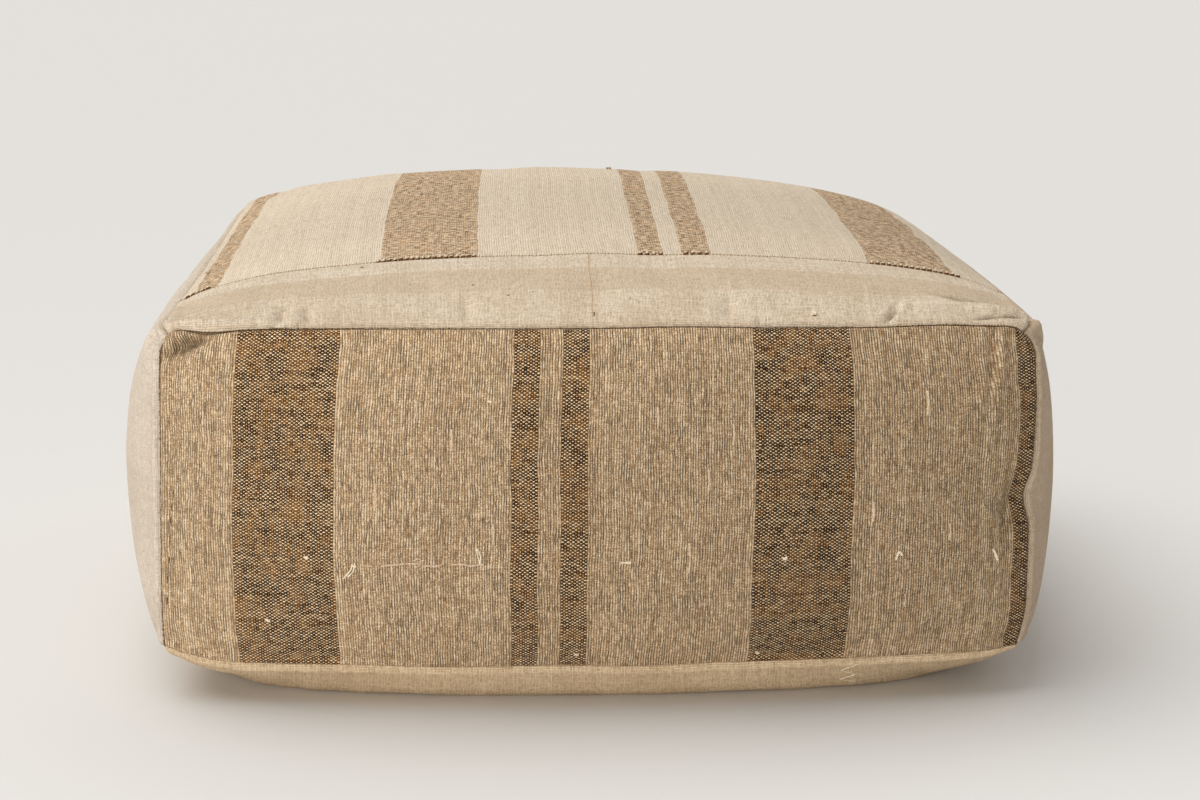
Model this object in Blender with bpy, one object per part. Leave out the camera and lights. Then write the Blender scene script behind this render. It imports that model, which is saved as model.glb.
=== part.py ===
"""Cube pouf stool: a filled cushion covered with sewn panels of old hand-woven cloth.

Metres, +Z up. The pouf stands on z = 0 with the middle of its outline over the origin.
+X is the right of the striped front, and +Y goes from the front to the back.

The cover is worked out as one closed skin first: a cube cut into rows, whose points are
carried onto the swollen faces between the twelve seams. Each sewn panel is a region of
that skin with the thickness of its cloth, mitred along its seams. The filled body is the
same skin one cloth thickness further in, and comes to the outside at the bottom, where
its own linen shows.
"""
import math
from collections import namedtuple

import bmesh
import bpy
from mathutils import Vector

# Driving dimensions
CLOTH = 0.002            # thickness of a cover panel
GAP = 0.0003             # clearance between neighbouring pieces
STRIP_SHARE = 0.20       # share of the top, from the front seam, that the plain strip takes
PANEL_INSET = 0.0002     # how far a panel's edge keeps from its seam line
EDGE_ROLL = 0.08         # how softly the cloth rolls over beside a seam, 0 for a sharp roll

# Rows of points, measured from a seam towards the middle of a panel
SEAM_ROWS = (0.003, 0.009, 0.018, 0.030, 0.045, 0.064, 0.086)
SIDE_SEAM_ROWS = (0.003, 0.009, 0.018, 0.030, 0.045, 0.064)
WIDE_ROW = 0.052         # longest step between rows in the middle of a panel

# Corners of the cover: which corner it is (left/front/bottom are -1), and where it lies
Corner = namedtuple("Corner", "right back top x y z")
CORNERS = (
    Corner(-1, -1, -1, -0.304, -0.297, 0.029),
    Corner(1, -1, -1, 0.304, -0.297, 0.032),
    Corner(-1, 1, -1, -0.304, 0.297, 0.024),
    Corner(1, 1, -1, 0.304, 0.297, 0.024),
    Corner(-1, -1, 1, -0.298, -0.298, 0.268),
    Corner(1, -1, 1, 0.305, -0.298, 0.266),
    Corner(-1, 1, 1, -0.298, 0.298, 0.281),
    Corner(1, 1, 1, 0.287, 0.298, 0.262),
)

# Seams that aren't straight: the axis along which the seam runs, the edge of the cube that
# it is on, and how far its middle stands away from the straight line between its corners
Seam = namedtuple("Seam", "along edge bow_x bow_y bow_z")
SEAMS = (
    Seam(0, (0, -1, 1), 0.0, -0.006, 0.0),
    Seam(0, (0, -1, -1), 0.0, -0.014, -0.002),
    Seam(0, (0, 1, -1), 0.0, 0.014, -0.002),
    Seam(0, (0, 1, 1), 0.0, 0.010, 0.004),
    Seam(1, (-1, 0, 1), -0.004, 0.0, -0.011),
    Seam(1, (1, 0, 1), 0.003, 0.0, -0.001),
    Seam(1, (-1, 0, -1), -0.003, 0.0, 0.0),
    Seam(1, (1, 0, -1), 0.013, 0.0, 0.0),
)

# Faces of the cube: axis and side, how far the filling pushes the panel out in its middle,
# the powers of its round profile along its two axes, how steeply it rises from its seams,
# and how much fuller it gets towards the far end of its second axis
Face = namedtuple("Face", "axis side swell power_u power_v steepness lean")
FACES = (
    Face(1, -1, 0.035, 2.04, 2.0, 0.33, 0.06),
    Face(1, 1, 0.035, 2.04, 2.0, 0.33, 0.06),
    Face(0, -1, 0.047, 2.04, 2.0, 0.33, 0.06),
    Face(0, 1, 0.040, 2.04, 2.0, 0.33, 0.06),
    Face(2, 1, 0.049, 2.0, 2.6, 0.23, 0.28),
    Face(2, -1, 0.082, 2.0, 2.0, 0.20, 0.0),
)

# Main soft folds: the face, the middle of the fold in shares of the half panel, its length,
# width and depth (below zero for a ridge), and how far it is turned from the face's u axis
Fold = namedtuple("Fold", "axis side u v length width depth turn")
FOLDS = (
    Fold(1, -1, -0.890, 0.820, 0.060, 0.013, 0.0080, 35),
    Fold(1, -1, -0.800, 0.250, 0.130, 0.022, 0.0030, 80),
    Fold(1, -1, 0.935, -0.350, 0.120, 0.014, 0.0050, 86),
    Fold(2, 1, 0.865, -0.900, 0.070, 0.011, 0.0065, 30),
    Fold(2, 1, 0.790, -0.810, 0.100, 0.015, -0.0050, 20),
    Fold(2, 1, 0.520, -0.900, 0.060, 0.014, 0.0045, 75),
    Fold(2, 1, -0.560, -0.890, 0.060, 0.014, 0.0040, 80),
    Fold(2, 1, -0.700, -0.890, 0.060, 0.014, 0.0040, 95),
    Fold(2, 1, -0.880, -0.900, 0.070, 0.016, -0.0060, 15),
    Fold(0, -1, -0.880, 0.780, 0.050, 0.013, 0.0040, 140),
    Fold(0, 1, -0.900, 0.720, 0.050, 0.013, 0.0040, 130),
    Fold(0, 1, 0.880, 0.760, 0.050, 0.013, 0.0040, 40),
    Fold(0, -1, 0.880, 0.760, 0.050, 0.013, 0.0040, 35),
    Fold(1, 1, -0.880, 0.780, 0.050, 0.013, 0.0045, 140),
    Fold(1, 1, 0.880, 0.780, 0.050, 0.013, 0.0045, 40),
)

# Panels of the cover: the face each one covers, and its cloth
Panel = namedtuple("Panel", "name axis side colour roughness")
PANELS = (
    Panel("top_panel", 2, 1, (0.69, 0.59, 0.46), 0.92),
    Panel("top_front_strip", 2, 1, (0.62, 0.53, 0.41), 0.92),
    Panel("front_panel", 1, -1, (0.42, 0.32, 0.21), 0.94),
    Panel("back_panel", 1, 1, (0.42, 0.32, 0.21), 0.94),
    Panel("left_panel", 0, -1, (0.62, 0.54, 0.44), 0.92),
    Panel("right_panel", 0, 1, (0.62, 0.54, 0.44), 0.92),
)
BODY_COLOUR = (0.50, 0.39, 0.27)
BODY_ROUGHNESS = 0.92
SHARP_ANGLE = math.radians(40)

CORNER_AT = {(c.right, c.back, c.top): Vector((c.x, c.y, c.z)) for c in CORNERS}
BOW_AT = {(s.along, s.edge): Vector((s.bow_x, s.bow_y, s.bow_z)) for s in SEAMS}
STRIP_ROW = 2 * STRIP_SHARE - 1


def clear_scene():
    """Start from an empty file."""
    for item in list(bpy.data.objects):
        bpy.data.objects.remove(item, do_unlink=True)


def cloth_material(name, colour, roughness):
    """A plain matt cloth."""
    material = bpy.data.materials.new(name)
    material.use_nodes = True
    shader = material.node_tree.nodes["Principled BSDF"]
    shader.inputs["Base Color"].default_value = (*colour, 1.0)
    shader.inputs["Roughness"].default_value = roughness
    shader.inputs["Metallic"].default_value = 0.0
    return material


def seam_point(along, cube_point):
    """A point of one of the twelve seams. cube_point is on that edge of the cube."""
    start = list(cube_point)
    end = list(cube_point)
    start[along] = -1
    end[along] = 1
    share = (cube_point[along] + 1) / 2
    edge = list(cube_point)
    edge[along] = 0
    straight = CORNER_AT[tuple(start)].lerp(CORNER_AT[tuple(end)], share)
    bow = BOW_AT.get((along, tuple(edge)), Vector())
    return straight + bow * (1 - cube_point[along] ** 2)


def flat_patch(axis, cube_point):
    """The panel as it would lie if it were only stretched between its four seams."""
    u_axis, v_axis = [other for other in range(3) if other != axis]
    u, v = cube_point[u_axis], cube_point[v_axis]
    total = Vector()
    for end in (-1, 1):
        on_seam = list(cube_point)
        on_seam[v_axis] = end
        total += seam_point(u_axis, on_seam) * (1 + end * v) / 2
        on_seam = list(cube_point)
        on_seam[u_axis] = end
        total += seam_point(v_axis, on_seam) * (1 + end * u) / 2
    for u_end in (-1, 1):
        for v_end in (-1, 1):
            at_corner = list(cube_point)
            at_corner[u_axis] = u_end
            at_corner[v_axis] = v_end
            total -= CORNER_AT[tuple(at_corner)] * (1 + u_end * u) * (1 + v_end * v) / 4
    return total


def fullness(share, power, steepness):
    """Profile of a filled panel: 1 in its middle and 0 at its seams."""
    height = max(0.0, 1 - abs(share) ** power)
    floor = EDGE_ROLL ** steepness
    return ((height + EDGE_ROLL) ** steepness - floor) / ((1 + EDGE_ROLL) ** steepness - floor)


def fold_depth(face, u, v, half_u, half_v):
    """How far the soft folds of a panel sink it at one point. They end at its seams."""
    depth = 0.0
    for fold in FOLDS:
        if (fold.axis, fold.side) != (face.axis, face.side):
            continue
        turn = math.radians(fold.turn)
        right = (u - fold.u) * half_u
        up = (v - fold.v) * half_v
        along = right * math.cos(turn) + up * math.sin(turn)
        across = up * math.cos(turn) - right * math.sin(turn)
        depth += fold.depth * math.exp(-(along / fold.length * 2) ** 2 - (across / fold.width) ** 2)
    return depth * min(1.0, 12 * (1 - abs(u))) * min(1.0, 12 * (1 - abs(v)))


def cover_point(cube_point):
    """Carry a point of the cube, whose faces are at -1 and 1, onto the filled cover."""
    face = next(f for f in FACES if cube_point[f.axis] == f.side)
    u_axis, v_axis = [other for other in range(3) if other != face.axis]
    u, v = cube_point[u_axis], cube_point[v_axis]
    point = flat_patch(face.axis, cube_point)
    swell = face.swell * (1 + face.lean * v)
    swell *= fullness(u, face.power_u, face.steepness) * fullness(v, face.power_v, face.steepness)
    swell -= fold_depth(face, u, v, HALF_SIZE[u_axis], HALF_SIZE[v_axis])
    point[face.axis] += face.side * swell
    point.z = max(point.z, 0.0)
    return point


def share_rows(length, seam_rows, fixed=None):
    """Rows across a face as shares from -1 to 1, close beside the seams, wide in the middle."""
    stops = [seam_rows[-1], length - seam_rows[-1]]
    if fixed is not None:
        stops.insert(1, (fixed + 1) / 2 * length)
    rows = list(seam_rows[:-1]) + [length - row for row in seam_rows[:-1]]
    for start, end in zip(stops, stops[1:]):
        steps = math.ceil((end - start) / WIDE_ROW)
        rows += [start + (end - start) * step / steps for step in range(steps)]
    rows.append(stops[-1])
    return sorted(2 * row / length - 1 for row in rows)


LOW_CORNER = CORNER_AT[-1, -1, -1]
HIGH_CORNER = CORNER_AT[1, 1, 1]
SIZE = (CORNER_AT[1, -1, 1].x - CORNER_AT[-1, -1, 1].x,
        HIGH_CORNER.y - CORNER_AT[-1, -1, 1].y,
        HIGH_CORNER.z - LOW_CORNER.z)
HALF_SIZE = tuple(length / 2 for length in SIZE)
ROWS = (share_rows(SIZE[0], SEAM_ROWS),
        share_rows(SIZE[1], SEAM_ROWS, STRIP_ROW),
        share_rows(SIZE[2], SIDE_SEAM_ROWS))


def cut_cube():
    """A cube from -1 to 1, cut along every row, in triangles."""
    cube = bmesh.new()
    bmesh.ops.create_cube(cube, size=2)
    for axis, rows in enumerate(ROWS):
        normal = Vector([float(axis == other) for other in range(3)])
        for row in rows:
            bmesh.ops.bisect_plane(
                cube,
                geom=cube.verts[:] + cube.edges[:] + cube.faces[:],
                plane_co=normal * row,
                plane_no=normal,
            )
    bmesh.ops.triangulate(cube, faces=cube.faces, quad_method="FIXED")
    return cube


class Skin:
    """The closed cover: its triangles, and each point's place and step for one metre of depth."""

    def __init__(self):
        cube = cut_cube()
        self.cube_points = [tuple(vert.co) for vert in cube.verts]
        for vert in cube.verts:
            vert.co = cover_point(vert.co)
        middle = Vector((0.0, 0.0, 0.0))
        for axis in (0, 1):
            places = [vert.co[axis] for vert in cube.verts]
            middle[axis] = (min(places) + max(places)) / 2
        for vert in cube.verts:
            vert.co -= middle
        cube.normal_update()
        self.middle = middle
        self.places = [vert.co.copy() for vert in cube.verts]
        self.steps = [vert.normal * vert.calc_shell_factor() for vert in cube.verts]
        self.triangles = [tuple(vert.index for vert in face.verts) for face in cube.faces]
        cube.free()

    def edge_of(self, panel):
        """Lowest and highest share of a panel along each axis of the cube."""
        low = [-1.0, -1.0, -1.0]
        high = [1.0, 1.0, 1.0]
        low[panel.axis] = high[panel.axis] = float(panel.side)
        if panel.name == "top_front_strip":
            high[1] = STRIP_ROW
        if panel.name == "top_panel":
            low[1] = STRIP_ROW
        return low, high

    def region(self, panel):
        """The triangles of the skin that a panel covers."""
        low, high = self.edge_of(panel)
        inside = []
        for triangle in self.triangles:
            corners = [self.cube_points[index] for index in triangle]
            middle = [sum(corner[axis] for corner in corners) / 3 for axis in range(3)]
            if all(low[axis] - 1e-6 <= middle[axis] <= high[axis] + 1e-6 for axis in range(3)):
                inside.append(triangle)
        return inside

    def edge_place(self, index, panel):
        """A point of a panel, kept a little inside the panel's seams."""
        low, high = self.edge_of(panel)
        point = list(self.cube_points[index])
        for axis in range(3):
            if axis != panel.axis:
                inset = PANEL_INSET / HALF_SIZE[axis]
                point[axis] = min(max(point[axis], low[axis] + inset), high[axis] - inset)
        return cover_point(point) - self.middle


def add_object(name, points, triangles, material, collection):
    """Make one closed sub-part."""
    mesh = bpy.data.meshes.new(name)
    mesh.from_pydata(points, [], triangles)
    mesh.materials.append(material)
    mesh.shade_smooth()
    mesh.set_sharp_from_angle(angle=SHARP_ANGLE)
    part = bpy.data.objects.new(name, mesh)
    collection.objects.link(part)
    return part


def add_panel(skin, panel, collection):
    """One sewn panel: its outer and inner face, and the mitred edge between them."""
    region = skin.region(panel)
    used = sorted({index for triangle in region for index in triangle})
    number = {index: place for place, index in enumerate(used)}
    outer = [skin.edge_place(index, panel) for index in used]
    inner = [place - skin.steps[index] * CLOTH for place, index in zip(outer, used)]
    faces = []
    sides = {}
    for triangle in region:
        corners = [number[index] for index in triangle]
        faces.append(corners)
        faces.append([corner + len(used) for corner in reversed(corners)])
        for start, end in zip(corners, corners[1:] + corners[:1]):
            sides[start, end] = True
    for start, end in sides:
        if (end, start) not in sides:
            faces.append([end, start, start + len(used)])
            faces.append([end, start + len(used), end + len(used)])
    material = cloth_material(panel.name, panel.colour, panel.roughness)
    return add_object(panel.name, outer + inner, faces, material, collection)


def add_filled_body(skin, collection):
    """The filling in its cloth: under the panels at the sides and top, bare underneath."""
    points = []
    for cube_point, place, step in zip(skin.cube_points, skin.places, skin.steps):
        underneath = cube_point[2] == -1 and abs(cube_point[0]) < 1 and abs(cube_point[1]) < 1
        depth = 0.0 if underneath else CLOTH + GAP
        points.append(place - step * depth)
    material = cloth_material("filled_body", BODY_COLOUR, BODY_ROUGHNESS)
    return add_object("filled_body", points, skin.triangles, material, collection)


def build():
    """Make the pouf."""
    clear_scene()
    collection = bpy.data.collections.new("cube_pouf_stool")
    bpy.context.scene.collection.children.link(collection)
    skin = Skin()
    add_filled_body(skin, collection)
    for panel in PANELS:
        add_panel(skin, panel, collection)


build()
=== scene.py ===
"""Looks of the cube pouf stool: hand-woven panels sewn round a filled cushion."""
import math
from collections import namedtuple

import bpy
import numpy as np
from mathutils import Matrix, Vector


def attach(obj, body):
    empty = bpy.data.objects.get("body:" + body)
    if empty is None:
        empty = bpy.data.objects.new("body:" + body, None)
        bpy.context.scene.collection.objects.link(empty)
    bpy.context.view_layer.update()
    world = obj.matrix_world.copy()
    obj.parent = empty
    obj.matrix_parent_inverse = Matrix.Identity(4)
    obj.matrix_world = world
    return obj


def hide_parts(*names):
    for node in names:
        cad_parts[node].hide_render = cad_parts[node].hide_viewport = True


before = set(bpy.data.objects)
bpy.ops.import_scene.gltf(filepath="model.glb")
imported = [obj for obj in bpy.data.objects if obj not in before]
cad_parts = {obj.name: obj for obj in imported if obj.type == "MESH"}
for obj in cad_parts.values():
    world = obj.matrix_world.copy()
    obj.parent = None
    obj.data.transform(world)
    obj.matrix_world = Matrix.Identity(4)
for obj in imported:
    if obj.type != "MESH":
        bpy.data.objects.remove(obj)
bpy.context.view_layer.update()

# --------------------------------------------------
# Camera, floor and light. The pouf stands on a wide pale floor, under a large soft light
# overhead, with the studio bright behind it and two soft lamps low in front of it.
# --------------------------------------------------
CAMERA_AT = (-0.0354, -2.0948, 0.5775)
CAMERA_PITCH = 0.1993
CAMERA_YAW = 0.0227
CAMERA_ROLL = -0.0022
CAMERA_LENS = 80.0
FLOOR_WIDTH = 60.0
FLOOR_COLOUR = (0.70, 0.69, 0.675, 1.0)
SKY_COLOUR = (1.0, 0.985, 0.96, 1.0)
SKY_BRIGHT_SIDE = (0.0, 1.0, 0.0)
SKY_DIM, SKY_BRIGHT = 0.0, 1.10
LAMP_COLOUR = (1.0, 0.985, 0.955)
LAMP_AIM = (0.0, 0.0, 0.12)
OVERHEAD_FROM = (-0.42, 0.06, 0.95)
OVERHEAD_STRENGTH = 1.79
OVERHEAD_SOFTNESS = math.radians(60)
Lamp = namedtuple("Lamp", "name x y z width power")
LAMPS = (
    Lamp("front_lamp", -0.4, -2.6, 0.20, 0.8, 28.0),
    Lamp("left_lamp", -1.8, -2.2, 0.60, 1.2, 17.0),
)

bpy.context.scene.view_settings.view_transform = "Standard"

camera_data = bpy.data.cameras.new("photo_camera")
camera_data.lens = CAMERA_LENS
camera_data.sensor_width = 36.0
camera = bpy.data.objects.new("photo_camera", camera_data)
bpy.context.scene.collection.objects.link(camera)
camera.matrix_world = (
    Matrix.Translation(CAMERA_AT)
    @ Matrix.Rotation(-CAMERA_YAW, 4, "Z")
    @ Matrix.Rotation(math.pi / 2 - CAMERA_PITCH, 4, "X")
    @ Matrix.Rotation(CAMERA_ROLL, 4, "Z")
)
bpy.context.scene.camera = camera


def add_light(name, kind, place, aim, energy):
    """A light at one place, turned to another, that the camera doesn't see."""
    data = bpy.data.lights.new(name, kind)
    data.energy = energy
    data.color = LAMP_COLOUR
    light = bpy.data.objects.new(name, data)
    bpy.context.scene.collection.objects.link(light)
    light.location = place
    light.rotation_euler = (Vector(place) - Vector(aim)).to_track_quat("Z", "Y").to_euler()
    light.visible_camera = False
    return data


overhead = add_light("overhead_light", "SUN", OVERHEAD_FROM, (0, 0, 0), OVERHEAD_STRENGTH)
overhead.angle = OVERHEAD_SOFTNESS
for lamp in LAMPS:
    add_light(lamp.name, "AREA", (lamp.x, lamp.y, lamp.z), LAMP_AIM, lamp.power).size = lamp.width

world = bpy.data.worlds.new("studio")
bpy.context.scene.world = world
world.use_nodes = True
sky = world.node_tree.nodes["Background"]
sky.inputs["Color"].default_value = SKY_COLOUR
direction = world.node_tree.nodes.new("ShaderNodeTexCoord")
towards = world.node_tree.nodes.new("ShaderNodeVectorMath")
towards.operation = "DOT_PRODUCT"
towards.inputs[1].default_value = SKY_BRIGHT_SIDE
brightness = world.node_tree.nodes.new("ShaderNodeMapRange")
brightness.inputs["From Min"].default_value = -1.0
brightness.inputs["From Max"].default_value = 1.0
brightness.inputs["To Min"].default_value = SKY_DIM
brightness.inputs["To Max"].default_value = SKY_BRIGHT
world.node_tree.links.new(direction.outputs["Generated"], towards.inputs[0])
world.node_tree.links.new(towards.outputs["Value"], brightness.inputs["Value"])
world.node_tree.links.new(brightness.outputs["Result"], sky.inputs["Strength"])

bpy.ops.mesh.primitive_grid_add(x_subdivisions=4, y_subdivisions=4, size=FLOOR_WIDTH)
floor = bpy.context.object
floor.name = "floor"
floor_material = bpy.data.materials.new("floor")
floor_material.use_nodes = True
floor_shader = floor_material.node_tree.nodes["Principled BSDF"]
floor_shader.inputs["Base Color"].default_value = FLOOR_COLOUR
floor_shader.inputs["Roughness"].default_value = 0.9
floor.data.materials.append(floor_material)

# --------------------------------------------------
# The sewn cover before its panels are told apart: six faces stretched between
# twelve seams by the filling. Every panel below is cut from this one surface,
# so that neighbours meet along their seams.
# --------------------------------------------------
EDGE_ROLL = 0.08
HALF_SIZE = np.array((0.3015, 0.298, 0.119))

# a corner of the sewn box, and how its tip is drawn in over the reach round it
Corner = namedtuple("Corner", "right back top x y z reach draw_x draw_y draw_z")
CORNERS = (
    Corner(-1, -1, -1, -0.304, -0.297, 0.029, 0.057, 0.001, 0.004, 0.0105),
    Corner(1, -1, -1, 0.304, -0.297, 0.032, 0.045, -0.006, 0.003, 0.003),
    Corner(-1, 1, -1, -0.304, 0.297, 0.024, 0.045, 0.007, -0.007, 0.008),
    Corner(1, 1, -1, 0.304, 0.297, 0.024, 0.045, -0.007, -0.007, 0.008),
    Corner(-1, -1, 1, -0.298, -0.298, 0.268, 0.022, 0.0075, 0.002, -0.0065),
    Corner(1, -1, 1, 0.305, -0.298, 0.266, 0.024, -0.0095, 0.002, -0.0055),
    Corner(-1, 1, 1, -0.298, 0.298, 0.281, 0.030, 0.006, -0.006, -0.006),
    Corner(1, 1, 1, 0.287, 0.298, 0.262, 0.030, -0.006, -0.006, -0.006),
)
Seam = namedtuple("Seam", "along edge bow_x bow_y bow_z")
SEAMS = (
    Seam(0, (0, -1, 1), 0.0, -0.006, 0.0),
    Seam(0, (0, -1, -1), 0.0, -0.014, -0.002),
    Seam(0, (0, 1, -1), 0.0, 0.014, -0.002),
    Seam(0, (0, 1, 1), 0.0, 0.010, 0.004),
    Seam(1, (-1, 0, 1), -0.004, 0.0, -0.013),
    Seam(1, (1, 0, 1), 0.003, 0.0, -0.001),
    Seam(1, (-1, 0, -1), -0.003, 0.0, 0.0),
    Seam(1, (1, 0, -1), 0.013, 0.0, 0.0),
)
# short places where a seam is drawn in or pushed out
Kink = namedtuple("Kink", "along edge share length x y z")
KINKS = (
    Kink(2, (1, -1, 0), -0.04, 0.014, -0.0050, 0.0020, 0.0),
    Kink(2, (1, -1, 0), 0.50, 0.050, 0.0022, 0.0, 0.0),
    Kink(0, (0, -1, 1), -0.88, 0.022, 0.0, -0.0016, -0.0024),
    Kink(0, (0, -1, 1), 0.78, 0.030, 0.0, 0.0, 0.0014),
    Kink(0, (0, -1, 1), 0.20, 0.040, 0.0, 0.0, 0.0010),
    Kink(0, (0, -1, -1), 0.10, 0.030, 0.0, 0.0, -0.0012),
    Kink(0, (0, -1, -1), -0.35, 0.040, 0.0, 0.0, -0.0010),
)
Face = namedtuple("Face", "name axis side swell power_u power_v steepness lean")
FACES = {
    "front": Face("front", 1, -1, 0.035, 2.04, 2.0, 0.33, 0.06),
    "back": Face("back", 1, 1, 0.035, 2.04, 2.0, 0.33, 0.06),
    "left": Face("left", 0, -1, 0.047, 2.04, 2.0, 0.33, 0.06),
    "right": Face("right", 0, 1, 0.040, 2.04, 2.0, 0.33, 0.06),
    "top": Face("top", 2, 1, 0.049, 2.0, 2.6, 0.23, 0.28),
    "bottom": Face("bottom", 2, -1, 0.082, 2.0, 2.0, 0.20, 0.0),
}
# faces whose two axes have to be swapped for their outside to face outwards
FLIPPED = ("back", "left", "bottom")

corner_at = {(c.right, c.back, c.top): np.array((c.x, c.y, c.z)) for c in CORNERS}
bow_at = {(s.along, s.edge): np.array((s.bow_x, s.bow_y, s.bow_z)) for s in SEAMS}


def face_axes(face):
    """The two axes along a face: across it and up it."""
    return [axis for axis in range(3) if axis != face.axis]


def seam_points(along, key, share):
    """Points of a seam. key says on which edge of the cover it is, share runs from -1 to 1."""
    start, end, edge = list(key), list(key), list(key)
    start[along], end[along], edge[along] = -1, 1, 0
    share = share[..., None]
    bow = bow_at.get((along, tuple(edge)), np.zeros(3))
    straight = corner_at[tuple(start)] * (1 - share) / 2 + corner_at[tuple(end)] * (1 + share) / 2
    return straight + bow * (1 - share ** 2)


def local_pulls(face, u, v):
    """How drawn-in corners and kinks in the seams move the points of a face."""
    axes = face_axes(face)
    shares = (u, v)
    moved = np.zeros(u.shape + (3,))
    for corner in CORNERS:
        key = (corner.right, corner.back, corner.top)
        if key[face.axis] != face.side:
            continue
        gaps = [(1 - share * key[axis]) * HALF_SIZE[axis] for axis, share in zip(axes, shares)]
        near = np.clip(1 - np.hypot(*gaps) / corner.reach, 0, 1) ** 2
        moved += np.array((corner.draw_x, corner.draw_y, corner.draw_z)) * near[..., None]
    for kink in KINKS:
        if kink.edge[face.axis] != face.side:
            continue
        near = np.ones(u.shape)
        for axis, share in zip(axes, shares):
            place = kink.share if axis == kink.along else kink.edge[axis]
            near = near * np.exp(-((share - place) * HALF_SIZE[axis] / kink.length) ** 2)
            if axis == kink.along:
                near = near * np.clip((1 - np.abs(share)) * HALF_SIZE[axis] / kink.length, 0, 1)
        moved += np.array((kink.x, kink.y, kink.z)) * near[..., None]
    return moved


def fullness(share, power, steepness):
    """Profile of a filled panel: 1 in its middle and 0 at its seams."""
    height = np.clip(1 - np.abs(share) ** power, 0, 1)
    low = EDGE_ROLL ** steepness
    return ((height + EDGE_ROLL) ** steepness - low) / ((1 + EDGE_ROLL) ** steepness - low)


def face_points(face, u, v):
    """Points of an evenly filled face at shares u and v, from -1 to 1."""
    u_axis, v_axis = face_axes(face)
    total = np.zeros(u.shape + (3,))
    key = [0, 0, 0]
    key[face.axis] = face.side
    for end in (-1, 1):
        on_seam = list(key)
        on_seam[v_axis] = end
        total += seam_points(u_axis, on_seam, u) * ((1 + end * v) / 2)[..., None]
        on_seam = list(key)
        on_seam[u_axis] = end
        total += seam_points(v_axis, on_seam, v) * ((1 + end * u) / 2)[..., None]
        for other in (-1, 1):
            at_corner = list(key)
            at_corner[u_axis], at_corner[v_axis] = end, other
            weight = (1 + end * u) * (1 + other * v) / 4
            total -= corner_at[tuple(at_corner)] * weight[..., None]
    swell = face.swell * (1 + face.lean * v)
    swell = swell * fullness(u, face.power_u, face.steepness)
    swell = swell * fullness(v, face.power_v, face.steepness)
    total[..., face.axis] += face.side * swell
    total[..., 2] = np.maximum(total[..., 2], 0.0)
    return total


def cell_faces(index):
    """Quads between the rows of an array of point numbers."""
    return np.stack([index[:-1, :-1], index[1:, :-1], index[1:, 1:], index[:-1, 1:]], -1).reshape(-1, 4)


def shared_numbers(rows):
    """Number the points of the closed cover on three axes' rows, one array of numbers a face.
    Faces share the numbers of the points on their common seam."""
    numbers = {}
    arrays = {}
    for face in FACES.values():
        u_axis, v_axis = face_axes(face)
        index = np.zeros((len(rows[u_axis]), len(rows[v_axis])), int)
        for i in range(index.shape[0]):
            for j in range(index.shape[1]):
                spot = [0, 0, 0]
                spot[u_axis], spot[v_axis] = i, j
                spot[face.axis] = 0 if face.side < 0 else len(rows[face.axis]) - 1
                index[i, j] = numbers.setdefault(tuple(spot), len(numbers))
        arrays[face.name] = index
    return arrays


def new_mesh(name, points, quads):
    """A smooth mesh from arrays of points and quads."""
    mesh = bpy.data.meshes.new(name)
    mesh.vertices.add(len(points))
    mesh.vertices.foreach_set("co", np.asarray(points, float).ravel())
    mesh.loops.add(quads.size)
    mesh.loops.foreach_set("vertex_index", quads.ravel())
    mesh.polygons.add(len(quads))
    mesh.polygons.foreach_set("loop_start", np.arange(0, quads.size, 4))
    mesh.update(calc_edges=True)
    mesh.shade_smooth()
    return mesh


def add_piece(name, mesh):
    """Put a mesh in the scene as an object at the origin."""
    piece = bpy.data.objects.new(name, mesh)
    bpy.context.scene.collection.objects.link(piece)
    return piece


# The blank for the simulation: the whole cover in cells of about 8 mm
BLANK_CELLS = (76, 76, 32)
blank_rows = [np.linspace(-1, 1, cells + 1) for cells in BLANK_CELLS]
blank_index = shared_numbers(blank_rows)
blank_points = np.zeros((1 + max(index.max() for index in blank_index.values()), 3))
for name, face in FACES.items():
    u_axis, v_axis = face_axes(face)
    u, v = np.meshgrid(blank_rows[u_axis], blank_rows[v_axis], indexing="ij")
    blank_points[blank_index[name]] = face_points(face, u, v) + local_pulls(face, u, v)
cover_middle = (blank_points.min(0) + blank_points.max(0)) / 2
cover_middle[2] = 0.0
blank_points -= cover_middle
blank_quads = np.concatenate([
    cell_faces(index.T if name in FLIPPED else index) for name, index in blank_index.items()])
blank = add_piece("cover_blank", new_mesh("cover_blank", blank_points, blank_quads))
blank_normals = np.array([vertex.normal for vertex in blank.data.vertices])

# --------------------------------------------------
# Puckers. The filling pulls the cloth tight while the seam threads gather it, so
# the blank is simulated once as one closed cloth under pressure. Only the small
# relief is kept, because the seams and the fullness are already in place.
# --------------------------------------------------
SEAM_GATHER = 0.03
GATHER_CELLS = 1.5
HOLD = 0.10
CLOTH_SETTINGS = {
    "quality": 6, "mass": 0.3, "tension_stiffness": 20, "compression_stiffness": 20,
    "shear_stiffness": 3, "bending_stiffness": 5, "use_pressure": True,
    "uniform_pressure_force": 3.0, "vertex_group_shrink": "gathered", "shrink_min": 0.0,
    "shrink_max": SEAM_GATHER, "vertex_group_mass": "held",
}
SIMULATED_FRAMES = 20
RELIEF_BLUR = 4
RELIEF_SHARE = 0.35
RELIEF_CAP = 0.0022


def row_distance(index):
    """Cells from each point of a face to its nearest seam."""
    counts = [np.minimum(np.arange(n), n - 1 - np.arange(n)) for n in index.shape]
    return np.minimum(counts[0][:, None], counts[1][None, :])


def weigh_points(piece, name, weights):
    """A vertex group that holds a weight for every point of a piece."""
    group = piece.vertex_groups.new(name=name)
    for weight in np.unique(weights.round(3)):
        chosen = np.nonzero(np.isclose(weights, weight, atol=1e-3))[0]
        group.add(chosen.tolist(), float(weight), "REPLACE")


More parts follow.
